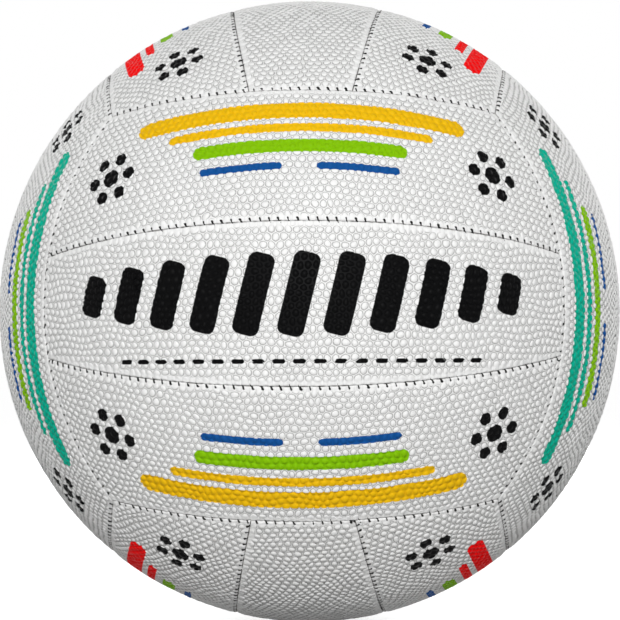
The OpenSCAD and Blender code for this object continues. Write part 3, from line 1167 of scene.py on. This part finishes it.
# %% Give every other piece its finish
CORD_SHINE = 0.15
waxed_cord = grainy_material("waxed_cord", (0.004, 0.004, 0.004, 1), (0.014, 0.013, 0.012, 1),
                             0.6, 0.05, 3000.0, 400.0)
cord_shader = waxed_cord.node_tree.nodes["Principled BSDF"]
cord_shader.inputs["Specular IOR Level"].default_value = CORD_SHINE
for lacing in lacings:
    give(lacing, waxed_cord)
finishes = {
    "backing": grainy_material("backing_cloth", (0.42, 0.38, 0.30, 1), (0.68, 0.64, 0.55, 1),
                               0.85, 0.12, 9000.0, 120.0, weave=True),
    "bladder": grainy_material("bladder_rubber", (0.010, 0.010, 0.010, 1),
                               (0.028, 0.028, 0.028, 1), 0.55, 0.04, 1500.0, 60.0),
    "valve_body": grainy_material("valve_rubber", (0.014, 0.014, 0.015, 1),
                                  (0.04, 0.04, 0.042, 1), 0.45, 0.03, 2600.0, 300.0),
    "valve_core": grainy_material("core_rubber", (0.30, 0.045, 0.02, 1),
                                  (0.44, 0.08, 0.035, 1), 0.5, 0.03, 2600.0, 300.0),
    "patch": grainy_material("patch_rubber", (0.03, 0.03, 0.03, 1), (0.07, 0.068, 0.065, 1),
                             0.7, 0.05, 1200.0, 90.0),
}
for node_name, node_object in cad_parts.items():
    for ending, finish in finishes.items():
        if node_name.endswith(ending):
            give(node_object, finish)
print("finishes:", [finish.name for finish in (waxed_cord, *finishes.values())])

# %% [markdown]
# ## Floor, light and camera
# The ball stands on a white floor in a white world. Both are bright only where the camera or
# a reflection sees them, so they don't wash out the ball. A small key lamp in front and a
# little above gives each pimple its shade, and three rear lamps light the rims and the back.
# The camera stands about seven radii away and looks square on. The ball is turned by about
# two degrees to it, so the camera is placed with the opposite turn and the ball stays square.

# %% The white floor and the world
def white_where_seen(tree, plain, white):
    """Mixes a shader that the camera and reflections see over one that lights the scene."""
    path = add_node(tree, "ShaderNodeLightPath")
    seen = path.outputs["Is Camera Ray"]
    for other in ("Is Glossy Ray", "Is Transmission Ray"):
        seen = add_node(tree, "ShaderNodeMath", {0: seen, 1: path.outputs[other]},
                        operation="MAXIMUM").outputs[0]
    mixed = add_node(tree, "ShaderNodeMixShader", {0: seen, 1: plain, 2: white})
    return mixed.outputs[0]


WORLD_LIGHT = 0.20
FLOOR_SIZE = 30
FLOOR_GREY = (0.5, 0.5, 0.5, 1)
FLOOR_GLOW = 0.8
world = bpy.data.worlds.new("white_studio")
bpy.context.scene.world = world
world.use_nodes = True
tree = world.node_tree
plain = add_node(tree, "ShaderNodeBackground", {"Color": (1, 1, 1, 1), "Strength": WORLD_LIGHT})
white = add_node(tree, "ShaderNodeBackground", {"Color": (1, 1, 1, 1), "Strength": 1.0})
tree.links.new(white_where_seen(tree, plain.outputs[0], white.outputs[0]),
               tree.nodes["World Output"].inputs["Surface"])

bpy.ops.object.select_all(action="DESELECT")
bpy.ops.mesh.primitive_plane_add(size=FLOOR_SIZE, location=(0, 0, -BALL_R))
floor = bpy.context.object
floor.name = "floor"
material, tree, shader = new_material("white_floor")
shader.inputs["Base Color"].default_value = FLOOR_GREY
shader.inputs["Roughness"].default_value = 0.9
glow = add_node(tree, "ShaderNodeEmission", {"Color": (1, 1, 1, 1), "Strength": FLOOR_GLOW})
lit = add_node(tree, "ShaderNodeAddShader", {0: shader.outputs[0], 1: glow.outputs[0]})
tree.links.new(white_where_seen(tree, shader.outputs[0], lit.outputs[0]),
               tree.nodes["Material Output"].inputs["Surface"])
floor.data.materials.append(material)
print("the floor lies at", round(-BALL_R / MM, 1), "mm, and the world lights at", WORLD_LIGHT)

# %% Soft studio lamps
def soft_lamp(name, place, size, power):
    lamp = bpy.data.lights.new(name, "AREA")
    lamp.shape = "DISK"
    lamp.size = size
    lamp.energy = power
    lamp_object = bpy.data.objects.new(name, lamp)
    lamp_object.location = place
    aim = Vector((0, 0, 0)) - Vector(place)
    lamp_object.rotation_euler = aim.to_track_quat("-Z", "Y").to_euler()
    bpy.context.scene.collection.objects.link(lamp_object)
    print(name, "shines at", power, "W")


soft_lamp("key_lamp", (0.05, -1.63, 0.52), 0.26, 24.5)
soft_lamp("left_rear_lamp", (-1.2, 1.0, 0.6), 0.5, 9)
soft_lamp("right_rear_lamp", (1.2, 1.0, 0.6), 0.5, 9)
soft_lamp("rear_lamp", (0, 1.6, 0.05), 0.5, 9)

# %% The camera
FRAME_PX = 620
SENSOR_MM = 36
BALL_PX_R = 310.4
CAMERA_AWAY = 6.99 * BALL_R
BALL_CENTRE_PX = (-0.4, -1.5)
BALL_TURN = Vector((math.radians(-1.36), math.radians(-0.35), math.radians(-1.70)))

focal_px = BALL_PX_R * math.sqrt((CAMERA_AWAY / BALL_R) ** 2 - 1)
camera = bpy.data.cameras.new("camera")
camera.sensor_width = SENSOR_MM
camera.lens = focal_px / FRAME_PX * camera.sensor_width
camera_object = bpy.data.objects.new("camera", camera)
bpy.context.scene.collection.objects.link(camera_object)
look = Vector((-BALL_CENTRE_PX[0] / focal_px, 1, -BALL_CENTRE_PX[1] / focal_px))
as_seen = Matrix.Rotation(BALL_TURN.length, 3, BALL_TURN)
upright = as_seen.inverted() @ look.to_track_quat("-Z", "Z").to_matrix()
camera_object.matrix_world = (
    Matrix.Translation(as_seen.inverted() @ Vector((0, -CAMERA_AWAY, 0)))
    @ upright.to_4x4())
bpy.context.scene.camera = camera_object
bpy.context.scene.view_settings.view_transform = "Standard"
print("lens in mm:", round(camera.lens, 1))
